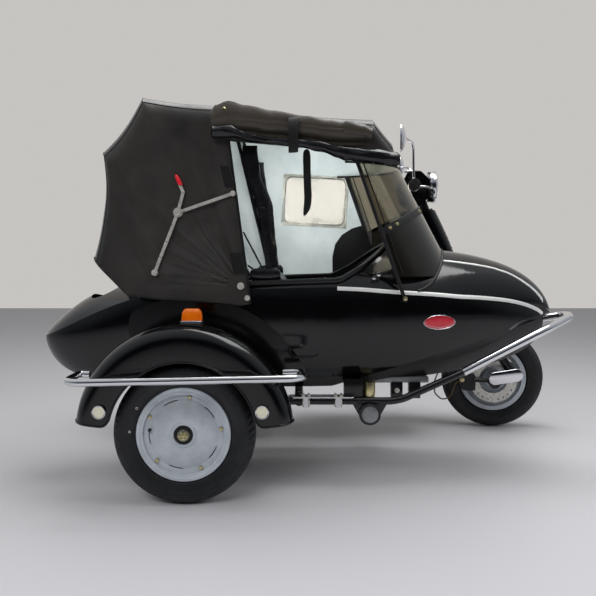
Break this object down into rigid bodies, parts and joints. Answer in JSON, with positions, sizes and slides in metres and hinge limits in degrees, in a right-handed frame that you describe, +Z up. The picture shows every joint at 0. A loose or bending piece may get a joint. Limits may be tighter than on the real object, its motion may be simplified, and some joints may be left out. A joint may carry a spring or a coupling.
{
  "type": "sidecar scooter",
  "caption": "Classic pressed-steel motor scooter in black with a single-seat sidecar on its right, under a cloth hood with a curved windscreen.",
  "frame": {"origin": "on the ground, below the middle of the whole outfit", "axes": "+X forward, +Y to the outfit's left, where the scooter is, +Z up; the sidecar is on the right, at -Y"},
  "size_m": [1.9446, 1.514, 1.2602],
  "materials": {
    "black_gloss": "gloss black enamel",
    "black_satin": "satin black enamel",
    "frame_black": "black powder coat",
    "black_hide": "black grained vinyl",
    "hood_cloth": "black coated cloth",
    "clear_sheet": "clear plastic sheet",
    "dark_sheet": "smoked plastic sheet",
    "chrome": "bright chrome",
    "polished": "polished aluminium",
    "cast": "cast aluminium",
    "silver_rim": "silver-grey enamel",
    "brushed": "bare steel",
    "tyre_black": "black rubber",
    "grip_black": "black rubber",
    "amber": "amber lens",
    "red": "red lens",
    "cream": "cream reflector",
    "lamp_glass": "ribbed lamp glass"
  },
  "bodies": {
    "chassis": {"sidecar_tub": "black_gloss", "belly_pan": "black_satin", "coaming": "black_hide", "seat_cushion": "black_hide", "seat_back": "black_hide", "screen_lower": "dark_sheet", "screen_upper": "clear_sheet", "screen_frame": "black_satin", "hood": "hood_cloth", "hood_window": "clear_sheet", "hood_bows": "frame_black", "landau_irons": "brushed", "curtain_roll": "hood_cloth", "roof_flap": "hood_cloth", "side_strips": "polished", "nose_hoop": "chrome", "sidecar_frame": "frame_black", "upper_strut": "frame_black", "trailing_arm": "frame_black", "fender": "black_gloss", "fender_hoop": "chrome", "fender_lamp_base": "black_satin", "fender_lamp_lens": "amber", "reflectors": "cream", "step_plate": "polished", "scooter_body": "black_gloss", "legshield": "black_gloss", "horn_cover": "black_gloss", "floorboard": "black_gloss", "left_cowl": "black_gloss", "right_cowl": "black_gloss", "engine_block": "cast", "exhaust": "black_satin", "tail_lamp": "red", "plate_bracket": "black_satin", "pedals": "brushed", "glove_box": "black_gloss"},
    "steering": {"fork": "frame_black", "front_mudguard": "black_gloss", "headset": "black_gloss", "headlamp": "lamp_glass", "grips": "grip_black", "levers": "polished", "mirrors": "chrome", "brake_caliper": "black_satin", "brake_hose": "grip_black"},
    "front_wheel": {"front_tyre": "tyre_black", "front_rim": "silver_rim", "front_disc": "brushed"},
    "rear_wheel": {"rear_tyre": "tyre_black", "rear_rim": "silver_rim"},
    "sidecar_wheel": {"sidecar_tyre": "tyre_black", "sidecar_rim": "silver_rim", "sidecar_hub": "cast"},
    "saddle": {"saddle": "black_hide"},
    "centre_stand": {"centre_stand": "frame_black"},
    "glove_box_lid": {"glove_box_lid": "black_gloss"}
  },
  "joints": [
    {"name": "steering_turn", "type": "hinge", "parent": "chassis", "child": "steering", "pos_m": [0.43, 0.376, 1.02], "axis": [-0.3746, 0, 0.9272], "range_deg": [-37, 53]},
    {"name": "front_wheel_roll", "type": "hinge", "parent": "steering", "child": "front_wheel", "pos_m": [0.75996, 0.37539, 0.21498], "axis": [0.129, 0.9903, 0.0521], "continuous": true},
    {"name": "rear_wheel_roll", "type": "hinge", "parent": "chassis", "child": "rear_wheel", "pos_m": [-0.5, 0.376, 0.215], "axis": [0, 1, 0], "continuous": true},
    {"name": "sidecar_wheel_roll", "type": "hinge", "parent": "chassis", "child": "sidecar_wheel", "pos_m": [-0.425, -0.624, 0.215], "axis": [0, 1, 0], "continuous": true},
    {"name": "saddle_tip", "type": "hinge", "parent": "chassis", "child": "saddle", "pos_m": [-0.014, 0.376, 0.742], "axis": [0, 1, 0], "range_deg": [0, 60]},
    {"name": "stand_swing", "type": "hinge", "parent": "chassis", "child": "centre_stand", "pos_m": [-0.12, 0.376, 0.262], "axis": [0, -1, 0], "range_deg": [0, 88], "stiffness_Nm_per_rad": 1.5, "springref_deg": -45.84},
    {"name": "glove_lid_drop", "type": "hinge", "parent": "chassis", "child": "glove_box_lid", "pos_m": [0.3515, 0.376, 0.636], "axis": [0, -1, 0], "range_deg": [0, 80]}
  ]
}
